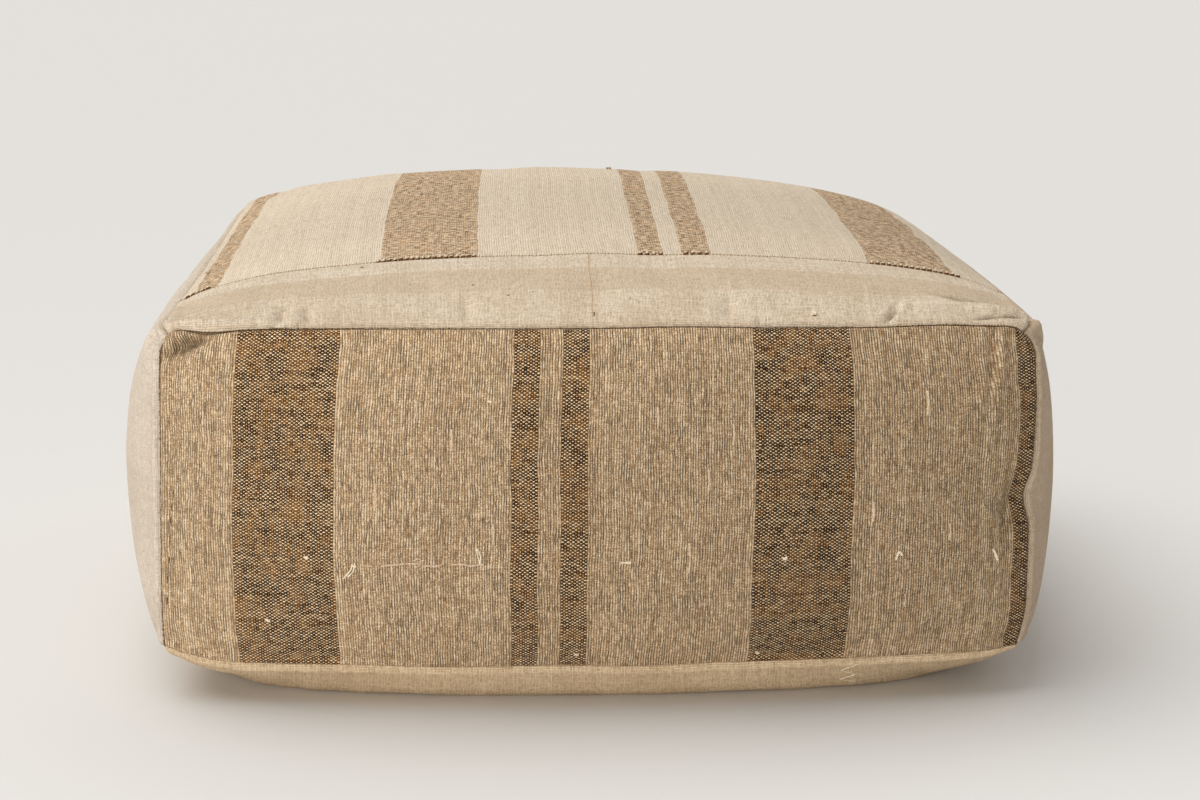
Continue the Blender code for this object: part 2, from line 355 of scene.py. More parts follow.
def simulate_cover(piece):
    """Step the cloth on the blank and give back its points."""
    gather = np.zeros(len(blank_points))
    for index in blank_index.values():
        gather[index] = np.maximum(gather[index], np.clip(1 - row_distance(index) / GATHER_CELLS, 0, 1))
    weigh_points(piece, "gathered", gather)
    weigh_points(piece, "held", np.where(blank_points[:, 2] < 0.0005, 1.0, HOLD))
    modifier = piece.modifiers.new("cloth", "CLOTH")
    for setting, value in CLOTH_SETTINGS.items():
        setattr(modifier.settings, setting, value)
    modifier.settings.effector_weights.gravity = 0.0
    modifier.collision_settings.use_collision = False
    modifier.collision_settings.use_self_collision = False
    scene = bpy.context.scene
    scene.frame_start = 1
    scene.frame_end = SIMULATED_FRAMES
    modifier.point_cache.frame_start = 1
    modifier.point_cache.frame_end = SIMULATED_FRAMES
    for frame_number in range(1, SIMULATED_FRAMES + 1):
        scene.frame_set(frame_number)
    evaluated = piece.evaluated_get(bpy.context.evaluated_depsgraph_get())
    result = np.array([vertex.co for vertex in evaluated.data.vertices])
    piece.modifiers.remove(modifier)
    scene.frame_set(1)
    return result


def blurred(values, cells):
    """Values on a face's rows, averaged over a Gaussian of so many cells."""
    steps = np.arange(-3 * cells, 3 * cells + 1)
    kernel = np.exp(-0.5 * (steps / cells) ** 2)
    kernel /= kernel.sum()
    for axis in (0, 1):
        padded = np.pad(values, [(3 * cells, 3 * cells) if axis == a else (0, 0) for a in (0, 1)], "edge")
        values = np.apply_along_axis(np.convolve, axis, padded, kernel, "valid")
    return values


relief = {name: np.zeros(index.shape) for name, index in blank_index.items()}
moved = ((simulate_cover(blank) - blank_points) * blank_normals).sum(-1)
for name, index in blank_index.items():
    small = moved[index] - blurred(moved[index], RELIEF_BLUR)
    relief[name] = RELIEF_CAP * np.tanh(RELIEF_SHARE * small / RELIEF_CAP)
bpy.data.objects.remove(blank)

# --------------------------------------------------
# Laying out a sewn panel: rows of points on its face, closer beside the seams, where the
# cloth rolls over its seam allowance into the stitched groove. Soft folds are placed after the
# ones in the photo. Every panel is a thin closed sheet, mitred at its seams.
# --------------------------------------------------
CLOTH = 0.0016
STRIP_SHARE = 0.20
STRIP_ROW = 2 * STRIP_SHARE - 1
CELL = 0.003
SEAM_ROWS = (0.0004, 0.0009, 0.0016, 0.0026, 0.0040, 0.0060)
GROOVE_DEPTH = 0.0042
GROOVE_WIDTH = 0.0016
ALLOWANCE_RIDGE = 0.0012
ALLOWANCE_WIDTH = 0.0055
FOLD_END = 0.004
STRIP_GROOVE = 0.0009
STRIP_GROOVE_WIDTH = 0.0014
SEAM_FADE = 0.008

Fold = namedtuple("Fold", "u v length width depth turn")
FOLDS = {
    "front": (
        Fold(-0.930, 0.915, 0.040, 0.0052, 0.0120, 30),
        Fold(-0.955, 0.980, 0.034, 0.0045, -0.0035, 12),
        Fold(-0.800, 0.250, 0.130, 0.022, 0.0020, 80),
        Fold(0.905, 0.700, 0.075, 0.0034, -0.0038, 83),
        Fold(0.885, 0.760, 0.055, 0.0030, 0.0034, 83),
        Fold(0.868, 0.620, 0.050, 0.0030, -0.0028, 84),
        Fold(0.940, -0.100, 0.060, 0.0060, 0.0040, 80),
    ),
    "top": (
        Fold(-0.880, -0.978, 0.050, 0.0050, -0.0045, 0),
        Fold(-0.940, -0.900, 0.040, 0.010, 0.0030, -35),
        Fold(-0.721, -0.955, 0.024, 0.0026, 0.0032, 85),
        Fold(-0.660, -0.955, 0.024, 0.0026, 0.0032, 95),
        Fold(-0.690, -0.955, 0.024, 0.0040, -0.0014, 90),
        Fold(0.672, -0.952, 0.026, 0.0026, 0.0065, 66),
        Fold(0.694, -0.950, 0.026, 0.0034, -0.0022, 66),
        Fold(0.300, -0.940, 0.030, 0.0060, 0.0030, 80),
        Fold(-0.300, -0.940, 0.030, 0.0060, 0.0030, 95),
        Fold(0.892, -0.962, 0.020, 0.0030, 0.0080, 30),
        Fold(0.935, -0.950, 0.030, 0.0036, 0.0090, 22),
        Fold(0.905, -0.912, 0.056, 0.0050, -0.0060, -8),
        Fold(0.915, -0.955, 0.026, 0.0032, -0.0050, 26),
        Fold(0.880, -0.860, 0.060, 0.0060, 0.0040, -20),
    ),
    "left": (
        Fold(-0.920, 0.860, 0.034, 0.0100, -0.0045, 90),
        Fold(-0.955, 0.930, 0.022, 0.0028, 0.0060, 20),
        Fold(0.880, 0.760, 0.050, 0.013, 0.0040, 35),
    ),
    "right": (
        Fold(-0.930, 0.900, 0.030, 0.0070, -0.0040, 60),
        Fold(-0.900, 0.720, 0.050, 0.010, 0.0040, 130),
        Fold(0.880, 0.760, 0.050, 0.013, 0.0040, 40),
    ),
    "back": (
        Fold(-0.880, 0.780, 0.050, 0.013, 0.0045, 140),
        Fold(0.880, 0.780, 0.050, 0.013, 0.0045, 40),
    ),
}
Layout = namedtuple("Layout", "face rows points outward across up")


def close_rows(half_length, cell, stops=(-1.0, 1.0)):
    """Shares of a panel's rows: a cell apart, and closer beside each stop, which is a seam."""
    rows = []
    for start, end in zip(stops, stops[1:]):
        low, high = start * half_length, end * half_length
        count = max(2, round((high - low - 2 * SEAM_ROWS[-1]) / cell))
        middle = np.linspace(low + SEAM_ROWS[-1], high - SEAM_ROWS[-1], count + 1)[1:-1]
        rows += [low] + [low + row for row in SEAM_ROWS]
        rows += list(middle) + [high - row for row in reversed(SEAM_ROWS)]
    rows.append(stops[-1] * half_length)
    return np.array(rows) / half_length


def blend_weights(cells, rows):
    """Cubic weights that carry values from a face's even rows to any other rows."""
    place = (rows + 1) / 2 * cells
    start = np.clip(np.floor(place).astype(int), 0, cells - 1)
    t = place - start
    weights = np.zeros((len(rows), cells + 1))
    for step, weight in (
        (-1, -0.5 * t ** 3 + t ** 2 - 0.5 * t),
        (0, 1.5 * t ** 3 - 2.5 * t ** 2 + 1),
        (1, -1.5 * t ** 3 + 2 * t ** 2 + 0.5 * t),
        (2, 0.5 * t ** 3 - 0.5 * t ** 2),
    ):
        np.add.at(weights, (np.arange(len(rows)), np.clip(start + step, 0, cells)), weight)
    return weights


def carry(face, values, u_rows, v_rows):
    """Values on the blank's rows of a face, carried to other rows."""
    u_axis, v_axis = face_axes(face)
    across = blend_weights(BLANK_CELLS[u_axis], u_rows)
    up = blend_weights(BLANK_CELLS[v_axis], v_rows)
    return np.einsum("ia,ab...,jb->ij...", across, values, up)


def run_lengths(points, axis):
    """Metres from the first row to each row along the cloth."""
    steps = np.linalg.norm(np.diff(points, axis=axis), axis=-1)
    return np.insert(np.cumsum(steps, axis=axis), 0, 0.0, axis=axis)


def beside_fold(fold, right, up):
    """Metres along a fold and across it, from metres right and up of its middle."""
    turn = math.radians(fold.turn)
    along = right * math.cos(turn) + up * math.sin(turn)
    across = up * math.cos(turn) - right * math.sin(turn)
    return along, across


def fold_sink(face, u, v, edge):
    """How far the folds of a face sink its points. They end at the seams, edge metres away."""
    u_axis, v_axis = face_axes(face)
    sink = np.zeros(u.shape)
    for fold in FOLDS.get(face.name, ()):
        right = (u - fold.u) * HALF_SIZE[u_axis]
        up = (v - fold.v) * HALF_SIZE[v_axis]
        along, across = beside_fold(fold, right, up)
        sink += fold.depth * np.exp(-(along / fold.length * 2) ** 2 - (across / fold.width) ** 2)
    return sink * np.minimum(1, edge / FOLD_END)


def lay_out(face, u_rows, v_rows):
    """A face's cloth on rows of shares: its points, which way is out, and metres along it."""
    u, v = np.meshgrid(u_rows, v_rows, indexing="ij")
    even = face_points(face, u, v)
    points = even + local_pulls(face, u, v) - cover_middle
    outward = carry(face, blank_normals[blank_index[face.name]], u_rows, v_rows)
    outward /= np.linalg.norm(outward, axis=-1, keepdims=True)
    runs = [run_lengths(even, 0), run_lengths(even, 1)]
    totals = [runs[0][-1:, :], runs[1][:, -1:]]
    edge = np.minimum(np.minimum(runs[0], totals[0] - runs[0]), np.minimum(runs[1], totals[1] - runs[1]))
    away = 1 - np.exp(-(edge / SEAM_FADE) ** 2)
    lift = carry(face, relief[face.name], u_rows, v_rows) * away - fold_sink(face, u, v, edge)
    lift -= GROOVE_DEPTH * np.exp(-(edge / GROOVE_WIDTH) ** 1.4)
    lift += ALLOWANCE_RIDGE * np.exp(-((edge - ALLOWANCE_WIDTH) / (ALLOWANCE_WIDTH / 2)) ** 2)
    if face.name == "top":
        from_strip = np.abs(v - STRIP_ROW) * HALF_SIZE[1]
        lift -= STRIP_GROOVE * np.exp(-(from_strip / STRIP_GROOVE_WIDTH) ** 2) * away
    points = points + outward * lift[..., None]
    points[..., 2] = np.maximum(points[..., 2], 0.0)
    across = (runs[0] / totals[0] - 0.5) * totals[0].max()
    up = (runs[1] / totals[1] - 0.5) * totals[1].max()
    return Layout(face, (u_rows, v_rows), points, outward, across, up)


def lay_panel(name, cell):
    """One face laid out in cells of the given size. The top has one seam more, beside its strip."""
    face = FACES[name]
    u_axis, v_axis = face_axes(face)
    stops = (-1.0, STRIP_ROW, 1.0) if name == "top" else (-1.0, 1.0)
    return lay_out(face, close_rows(HALF_SIZE[u_axis], cell), close_rows(HALF_SIZE[v_axis], cell, stops))


def strip_seam_column(layout):
    """The column of a layout of the top that lies in the seam beside the strip."""
    return int(np.argmin(np.abs(layout.rows[1] - STRIP_ROW)))


def sheet_piece(name, layout, columns=slice(None)):
    """A closed thin sheet on the given columns of a layout, with metres along it as its UVs."""
    outer = layout.points[:, columns]
    inner = outer - layout.outward[:, columns] * CLOTH
    count = outer.shape[0] * outer.shape[1]
    index = np.arange(count).reshape(outer.shape[:2])
    if layout.face.name in FLIPPED:
        index = index.T
    quads = [cell_faces(index), cell_faces(index.T + count)]
    border = np.concatenate([index[:-1, 0], index[-1, :-1], index[:0:-1, -1], index[0, :0:-1]])
    after = np.roll(border, -1)
    quads.append(np.stack([border, border + count, after + count, after], -1))
    points = np.concatenate([outer.reshape(-1, 3), inner.reshape(-1, 3)])
    quads = np.concatenate(quads)
    mesh = new_mesh(name, points, quads)
    metres = np.stack([layout.across[:, columns].ravel(), layout.up[:, columns].ravel()], -1)
    metres = np.concatenate([metres, metres])
    uv = mesh.uv_layers.new(name="cloth")
    uv.data.foreach_set("uv", metres[quads.ravel()].ravel())
    return add_piece(name, mesh)


# --------------------------------------------------
# Hand weave: warp threads that cross weft threads one over, one under. Both wander,
# swell into slubs and differ in tone, because they are spun and woven by hand.
# --------------------------------------------------
class Wire:
    """A value in a node tree. Sums, products and comparisons of wires become Math nodes."""

    def __init__(self, tree, socket):
        self.tree = tree
        self.socket = socket

    def math(self, operation, *others):
        node = self.tree.nodes.new("ShaderNodeMath")
        node.operation = operation
        for socket, value in zip(node.inputs, (self, *others)):
            join(self.tree, value, socket)
        return Wire(self.tree, node.outputs[0])

    def __add__(self, other):
        return self.math("ADD", other)

    def __sub__(self, other):
        return self.math("SUBTRACT", other)

    def __mul__(self, other):
        return self.math("MULTIPLY", other)

    def __truediv__(self, other):
        return self.math("DIVIDE", other)

    def __gt__(self, other):
        return self.math("GREATER_THAN", other)

    def between(self, low, high, out_low=0.0, out_high=1.0):
        """This value's smooth step from low to high, between two results."""
        node = self.tree.nodes.new("ShaderNodeMapRange")
        node.interpolation_type = "SMOOTHSTEP"
        for socket, value in zip(node.inputs, (self, low, high, out_low, out_high)):
            join(self.tree, value, socket)
        return Wire(self.tree, node.outputs[0])


def join(tree, value, socket):
    """Link a wire to a socket, or set the socket to a constant."""
    if isinstance(value, Wire):
        tree.links.new(value.socket, socket)
    else:
        socket.default_value = value


def spot(tree, x, y):
    """A vector wire from two values."""
    node = tree.nodes.new("ShaderNodeCombineXYZ")
    join(tree, x, node.inputs[0])
    join(tree, y, node.inputs[1])
    return Wire(tree, node.outputs[0])


def parts(tree, vector):
    """The x, y and z of a vector wire."""
    node = tree.nodes.new("ShaderNodeSeparateXYZ")
    join(tree, vector, node.inputs[0])
    return [Wire(tree, output) for output in node.outputs]


def noise(tree, x, y, detail=0.0):
    """Soft noise from 0 to 1 over two values, about one blob a unit."""
    node = tree.nodes.new("ShaderNodeTexNoise")
    node.noise_dimensions = "2D"
    node.inputs["Scale"].default_value = 1.0
    node.inputs["Detail"].default_value = detail
    join(tree, spot(tree, x, y), node.inputs["Vector"])
    return Wire(tree, node.outputs["Fac"])


def chance(tree, number):
    """A random value from 0 to 1 for each whole number."""
    node = tree.nodes.new("ShaderNodeTexWhiteNoise")
    node.noise_dimensions = "1D"
    join(tree, number, node.inputs["W"])
    return Wire(tree, node.outputs["Value"])


def mixed(tree, share, start, end, blend="MIX"):
    """Two colours mixed by a share."""
    node = tree.nodes.new("ShaderNodeMix")
    node.data_type = "RGBA"
    node.blend_type = blend
    for socket, value in zip((node.inputs[0], node.inputs[6], node.inputs[7]), (share, start, end)):
        join(tree, value, socket)
    return Wire(tree, node.outputs[2])


WEAVE_INPUTS = (
    "Cloth", "Warp pitch", "Weft pitch", "Warp width", "Weft width", "Crimp", "Wander", "Slub",
    "Shade below")
WEAVE_OUTPUTS = (
    "Warp shows", "Height", "Depth", "Ridge", "Warp place", "Warp tone", "Spun tone", "Knot tone")


def weave_group():
    """Plain weave over cloth metres: its relief, which thread is on top, and the warp's ribs.
    Each crossing has a tone of its own."""
    tree = bpy.data.node_groups.new("hand_weave", "ShaderNodeTree")
    for name in WEAVE_INPUTS:
        kind = "NodeSocketVector" if name == "Cloth" else "NodeSocketFloat"
        tree.interface.new_socket(name, in_out="INPUT", socket_type=kind)
    for name in WEAVE_OUTPUTS:
        tree.interface.new_socket(name, in_out="OUTPUT", socket_type="NodeSocketFloat")
    entry = tree.nodes.new("NodeGroupInput")
    exit_node = tree.nodes.new("NodeGroupOutput")
    given = {name: Wire(tree, entry.outputs[name]) for name in WEAVE_INPUTS}
    x, y, _ = parts(tree, given["Cloth"])
    drift = (noise(tree, x * 7.0, y * 14.0) - 0.5) * 0.0025
    sway_x = noise(tree, x * 130.0, y * 75.0) - 0.5
    sway_y = noise(tree, x * 60.0 + 9.0, y * 130.0) - 0.5
    p = (x + drift) / given["Warp pitch"] + sway_x * given["Wander"]
    q = (y + drift) / given["Weft pitch"] + sway_y * given["Wander"]
    warp = p.math("FLOOR")
    weft = q.math("FLOOR")
    fx = p - warp - 0.5
    fy = q - weft - 0.5
    warp_tone = chance(tree, warp)
    weft_tone = chance(tree, weft + 0.37)
    knot_tone = chance(tree, warp * 0.37 + weft * 1.61)
    warp_slub = noise(tree, warp * 7.31, y * 160.0) - 0.5
    weft_slub = noise(tree, x * 160.0, weft * 5.17) - 0.5
    warp_width = given["Warp width"] * (warp_slub * given["Slub"] + (warp_tone * 0.2 + 0.9))
    weft_width = given["Weft width"] * (
        weft_slub * given["Slub"] + (weft_tone * 0.2 + 0.7) + knot_tone * 0.4)
    over = (warp + weft).math("FLOORED_MODULO", 2.0) * 2.0 - 1.0
    crimp = over * given["Crimp"]
    warp_height = warp_width - (fx * fx * 4.0) / warp_width + crimp * (fy * math.pi).math("COSINE")
    weft_height = weft_width - (fy * fy * 4.0) / weft_width - crimp * (fx * math.pi).math("COSINE")
    height = warp_height.math("MAXIMUM", weft_height)
    results = {
        "Warp shows": warp_height > weft_height,
        "Height": height,
        # Depth is 0 in the low places between threads and 1 on their tops; the materials paint shade into
        # the low places with it.
        "Depth": height.between(given["Shade below"], given["Shade below"] + 0.42),
        "Ridge": (fx.math("ABSOLUTE") * -2.0 + 1.0) + warp_slub * given["Slub"],
        "Warp place": warp * given["Warp pitch"],
        "Warp tone": warp_tone,
        "Spun tone": warp_slub + 0.5,
        "Knot tone": knot_tone,
    }
    for name, wire in results.items():
        join(tree, wire, exit_node.inputs[name])
    return tree


hand_weave = weave_group()


def cloth_start(name):
    """A new material, its node tree and the wire of its cloth metres."""
    material = bpy.data.materials.new(name)
    material.use_nodes = True
    tree = material.node_tree
    uv = tree.nodes.new("ShaderNodeUVMap")
    uv.uv_map = "cloth"
    return material, tree, Wire(tree, uv.outputs[0])


def place_weave(tree, cloth, **settings):
    """The weave group in a material, with its own sizes, and its outputs as wires."""
    node = tree.nodes.new("ShaderNodeGroup")
    node.node_tree = hand_weave
    join(tree, cloth, node.inputs["Cloth"])
    for socket_name, value in settings.items():
        node.inputs[socket_name.replace("_", " ").capitalize()].default_value = value
    return {output.name: Wire(tree, output) for output in node.outputs}


def cloth_finish(tree, colour, height, bump_distance):
    """Colour and relief into the shader of a matt cloth."""
    shader = tree.nodes["Principled BSDF"]
    join(tree, colour, shader.inputs["Base Color"])
    shader.inputs["Roughness"].default_value = 0.92
    shader.inputs["Specular IOR Level"].default_value = 0.08
    shader.inputs["Sheen Weight"].default_value = 0.03
    shader.inputs["Sheen Roughness"].default_value = 0.5
    shader.inputs["Sheen Tint"].default_value = (1.0, 0.85, 0.65, 1.0)
    bump = tree.nodes.new("ShaderNodeBump")
    bump.inputs["Distance"].default_value = bump_distance
    bump.inputs["Strength"].default_value = 1.0
    join(tree, height, bump.inputs["Height"])
    tree.links.new(bump.outputs["Normal"], shader.inputs["Normal"])


# --------------------------------------------------
# Striped cloth of the top, front and back: coarse hemp warp and weft, cream and beige, with
# warp stripes of dark brown, between whose threads the cream weft shows as rows of dots.
# --------------------------------------------------
DEEP_FOLD = 0.0035
FOLD_SHADE = 32.0
# half of each panel's width and height, measured along its cloth
CLOTH_HALF = {
    "top": (0.309, 0.316), "front": (0.309, 0.129), "back": (0.309, 0.129), "left": (0.309, 0.134),
    "right": (0.309, 0.134),
}
Stripe = namedtuple("Stripe", "start end")
# ground_gap and gap are painted shade between the threads. The field after mottle is the strength of
# painted light: how much lighter the panel is painted to its left and darker to its right.
StripedCloth = namedtuple(
    "StripedCloth",
    "ground ground_dark ground_gap brown red_brown cream_dot tan_dot gap mottle fade rib bump")


def stripe_mask(place, stripes, half_width):
    """1 on the warp threads of the brown stripes, given as shares of the half panel."""
    mask = None
    for stripe in stripes:
        low, high = stripe.start * half_width, stripe.end * half_width
        inside = (place > low) - (place > high)
        mask = inside if mask is None else mask + inside
    return mask


def fold_shade(tree, x, y, face_name):
    """Share of the light that the deeper folds of a face keep out, over cloth metres."""
    shade = None
    for fold in FOLDS.get(face_name, ()):
        if fold.depth < DEEP_FOLD:
            continue
        half_width, half_height = CLOTH_HALF[face_name]
        along, across = beside_fold(fold, x - fold.u * half_width, y - fold.v * half_height)
        along = along / (fold.length / 2)
        across = across / fold.width
        near = (along * along + across * across).between(0.0, 2.2, fold.depth * FOLD_SHADE, 0.0)
        shade = near if shade is None else shade + near
    return 0.0 if shade is None else shade


def striped_cloth(name, stripes, tones, face_name):
    """The material of a striped panel on one face."""
    material, tree, cloth = cloth_start(name)
    x, y, _ = parts(tree, cloth)
    weave = place_weave(
        tree, cloth, warp_pitch=0.00178, weft_pitch=0.00120, warp_width=0.95, weft_width=0.98,
        crimp=0.62, wander=0.6, slub=0.8, shade_below=0.80)
    stripe = stripe_mask(weave["Warp place"], stripes, CLOTH_HALF[face_name][0])
    bands = noise(tree, x * 12.0, y * 110.0, 2.0)
    patches = noise(tree, x * 60.0, y * 60.0, 4.0)
    picks = noise(tree, x * 190.0, y * 330.0, 3.0)
    red = (bands * 0.4 + patches * 0.8 + weave["Warp tone"] * 0.1).between(0.52, 0.86)
    brown = mixed(tree, red, tones.brown, tones.red_brown)
    pale = red * 0.25 + weave["Knot tone"].math("POWER", 2.0) * 0.8
    dots = mixed(tree, pale.between(0.0, 1.3), tones.cream_dot, tones.tan_dot)
    stripe_colour = mixed(tree, weave["Warp shows"], dots, brown)
    # Painted shade: the low places between the stripe's threads take the near-black gap colour.
    gap = mixed(tree, red * 0.5, tones.gap, brown)
    stripe_colour = mixed(tree, weave["Depth"], gap, stripe_colour)
    worn = picks.between(0.44, 0.60) * tones.mottle
    stripe_colour = mixed(tree, worn, stripe_colour, tones.tan_dot)
    raised = noise(tree, weave["Warp place"] * 3100.0, y * 65.0, 1.0).between(0.47, 0.70)
    grain = noise(tree, x * 1100.0, y * 850.0, 1.0)
    # The raised threads are also painted a little lighter, a painted highlight on top of their bump.
    tone = weave["Spun tone"] * 0.10 + bands * 0.10 + weave["Warp tone"] * 0.2
    tone = tone + weave["Knot tone"] * 0.25 + raised * 0.15 + (grain - 0.5) * 1.4
    tone = tone + (picks - 0.5) * 0.6
    ground = mixed(tree, tone.between(-0.05, 0.70), tones.ground_dark, tones.ground)
    # Painted shade: the valleys between the ground's ribs and the low places between its threads are
    # darkened towards ground_gap.
    between_ribs = weave["Ridge"].between(0.10, 0.60, 0.36, 0.0)
    pits = weave["Depth"].between(0.0, 1.0, 0.36, 0.0)
    ground = mixed(tree, between_ribs + pits, ground, tones.ground_gap)
    colour = mixed(tree, stripe, ground, stripe_colour)
    # Painted light: the cloth is painted lighter towards its left and darker towards its right, as light
    # falls from the left, and lighter near its top and bottom seams than across its middle. fold_shade adds
    # painted shade in the deeper folds.
    fade = x.between(-0.30, 0.35, 1.0, -1.0) + (y * y).between(0.0, 0.02, -0.5, 0.8)
    light = fade * tones.fade + 1.0 - fold_shade(tree, x, y, face_name)
    colour = mixed(tree, 1.0, colour, light, "MULTIPLY")
    ground_height = weave["Ridge"].between(0.0, 0.8) * (raised * 2.2 + 0.6) + grain * 0.7
    ground_height = (ground_height + weave["Height"] * 0.3) * tones.rib
    cloth_finish(tree, colour, mixed(tree, stripe, ground_height, weave["Height"]), tones.bump)
    return material


# --------------------------------------------------
# Top: a striped panel from the back seam to the plain strip, pale and finely ribbed.
# --------------------------------------------------
TOP_STRIPES = (
    Stripe(-0.967, -0.898), Stripe(-0.506, -0.272), Stripe(0.105, 0.166),
    Stripe(0.213, 0.277), Stripe(0.653, 0.868),
)
TOP_TONES = StripedCloth(
    ground=(0.765, 0.667, 0.542, 1), ground_dark=(0.600, 0.498, 0.380, 1), ground_gap=(0.50, 0.39, 0.26, 1),
    brown=(0.22, 0.085, 0.018, 1), red_brown=(0.36, 0.162, 0.043, 1), cream_dot=(0.79, 0.655, 0.47, 1),
    tan_dot=(0.79, 0.62, 0.42, 1), gap=(0.105, 0.036, 0.006, 1), mottle=0.66, fade=0.05, rib=0.6,
    bump=0.0003)

top_layout = lay_panel("top", CELL)
top = sheet_piece("striped_top", top_layout, slice(strip_seam_column(top_layout), None))
top.data.materials.append(striped_cloth("top_stripe_cloth", TOP_STRIPES, TOP_TONES, "top"))
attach(top, "root")
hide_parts("top_panel")

# --------------------------------------------------
# Strip: plain linen, about 12 cm wide, sewn to the front edge of the striped top.
# --------------------------------------------------
# gap is the colour of painted shade between the threads.
Linen = namedtuple("Linen", "light dark gap pitch bump")


def plain_linen(name, tones, face_name, bands=()):
    """The material of a plain panel. bands are darker rows: where, half width and strength."""
    material, tree, cloth = cloth_start(name)
    x, y, _ = parts(tree, cloth)
    fine = place_weave(
        tree, cloth, warp_pitch=tones.pitch, weft_pitch=tones.pitch * 0.9, warp_width=0.9,
        weft_width=0.85, crimp=0.35, wander=0.8, slub=0.9, shade_below=0.45)
    streaks = noise(tree, x * 300.0, y * 25.0, 1.0)
    picks = noise(tree, x * 20.0, y * 380.0, 1.0)
    clouds = noise(tree, x * 14.0, y * 22.0, 2.0)
    tone = streaks * 0.4 + picks * 0.4 + clouds * 0.6 + fine["Warp tone"] * 0.12 + fine["Knot tone"] * 0.3
    tone = (tone - 0.65).between(-0.1, 0.7)
    for at, half_width, strength in bands:
        inside = (y - at).math("ABSOLUTE").between(half_width * 0.85, half_width * 1.15, 1.0, 0.0)
        tone = tone - inside * strength
    colour = mixed(tree, tone, tones.dark, tones.light)
    # Painted shade in the low places between the linen's threads.
    colour = mixed(tree, fine["Depth"], tones.gap, colour)
    light = fold_shade(tree, x, y, face_name)
    if light:
        colour = mixed(tree, 1.0, colour, light * -1.0 + 1.0, "MULTIPLY")
    cloth_finish(tree, colour, fine["Height"] + streaks * 0.6 + picks * 0.6, tones.bump)
    return material


STRIP_TONES = Linen((0.81, 0.71, 0.58, 1), (0.67, 0.54, 0.40, 1), (0.42, 0.31, 0.19, 1), 0.0010, 0.0002)
STRIP_CELL = 0.0019
STRIP_BANDS = ((-0.2475, 0.0225, 0.55), (-0.207, 0.018, -0.25))
strip_layout = lay_panel("top", STRIP_CELL)
strip = sheet_piece("plain_strip", strip_layout, slice(None, strip_seam_column(strip_layout) + 1))
strip.data.materials.append(plain_linen("strip_linen", STRIP_TONES, "top", STRIP_BANDS))
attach(strip, "root")
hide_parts("top_front_strip")

# --------------------------------------------------
# Front: the heaviest of the old cloths, in brown stripes up and down. The back, which
# the photo doesn't show, is cut from the same length.
# --------------------------------------------------
FRONT_STRIPES = (
    Stripe(-0.815, -0.582), Stripe(-0.194, -0.135), Stripe(-0.085, -0.026),
    Stripe(0.340, 0.560), Stripe(0.950, 0.996),
)
BACK_STRIPES = tuple(Stripe(-stripe.end, -stripe.start) for stripe in FRONT_STRIPES)
FRONT_TONES = StripedCloth(
    ground=(0.85, 0.67, 0.455, 1), ground_dark=(0.45, 0.29, 0.155, 1), ground_gap=(0.25, 0.13, 0.050, 1),
    brown=(0.110, 0.040, 0.009, 1), red_brown=(0.27, 0.110, 0.027, 1), cream_dot=(1.0, 0.78, 0.50, 1),
    tan_dot=(0.62, 0.40, 0.19, 1), gap=(0.016, 0.0045, 0.001, 1), mottle=0.0, fade=0.12, rib=1.0,
    bump=0.0009)

FRONT_CELL = 0.0023
BACK_CELL = 0.004
striped_layouts = {}
for side_name, cell, stripes in (
    ("front", FRONT_CELL, FRONT_STRIPES), ("back", BACK_CELL, BACK_STRIPES),
):
    striped_layouts[side_name] = lay_panel(side_name, cell)
    panel = sheet_piece("striped_" + side_name, striped_layouts[side_name])
    panel.data.materials.append(
        striped_cloth(side_name + "_stripe_cloth", stripes, FRONT_TONES, side_name))
    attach(panel, "root")
    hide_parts(side_name + "_panel")
front_layout = striped_layouts["front"]

# --------------------------------------------------
# Sides: two panels of plain linen.
# --------------------------------------------------
LEFT_TONES = Linen((0.77, 0.68, 0.58, 1), (0.65, 0.56, 0.46, 1), (0.44, 0.35, 0.26, 1), 0.0010, 0.0002)
# The right side's linen is given darker, warmer tones than the left's: painted warm shade on the side
# turned away from the light.
RIGHT_SHADED_TONES = Linen((0.64, 0.51, 0.38, 1), (0.54, 0.42, 0.30, 1), (0.36, 0.26, 0.17, 1), 0.0010, 0.0002)
SIDE_CELL = 0.0035
for side_name, tones, bands in (
    ("left", LEFT_TONES, ((-0.005, 0.018, 0.35),)),
    ("right", RIGHT_SHADED_TONES, ((-0.030, 0.001, 0.5),)),
):
    side = sheet_piece(side_name + "_side", lay_panel(side_name, SIDE_CELL))
    side.data.materials.append(plain_linen(side_name + "_linen", tones, side_name, bands))
    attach(side, "root")
    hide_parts(side_name + "_panel")

# --------------------------------------------------
# Filled cushion: the filling in its bottom linen, which shows underneath and rolls up to the
# bottom seams. It lies a little under the panels elsewhere.
# --------------------------------------------------
BODY_CELL = 0.0055
UNDER_PANELS = 0.0048
BOTTOM_TONES = Linen((0.84, 0.67, 0.46, 1), (0.70, 0.53, 0.34, 1), (0.44, 0.30, 0.17, 1), 0.0011, 0.0002)
body_rows = [close_rows(half, BODY_CELL) for half in HALF_SIZE]
body_index = shared_numbers(body_rows)
body_points = np.zeros((1 + max(index.max() for index in body_index.values()), 3))
body_layouts = {}
for name, face in FACES.items():
    layout = lay_out(face, *[body_rows[axis] for axis in face_axes(face)])
    depth = 0.0 if name == "bottom" else UNDER_PANELS
    body_points[body_index[name]] = layout.points - layout.outward * depth
    body_layouts[name] = layout
body_quads = []
body_uv = []
for name, index in body_index.items():
    order = (1, 0) if name in FLIPPED else (0, 1)
    numbers = np.arange(index.size).reshape(index.shape)
    layout = body_layouts[name]
    metres = np.stack([layout.across.ravel(), layout.up.ravel()], -1)
    body_quads.append(cell_faces(index.transpose(order)))
    body_uv.append(metres[cell_faces(numbers.transpose(order))])
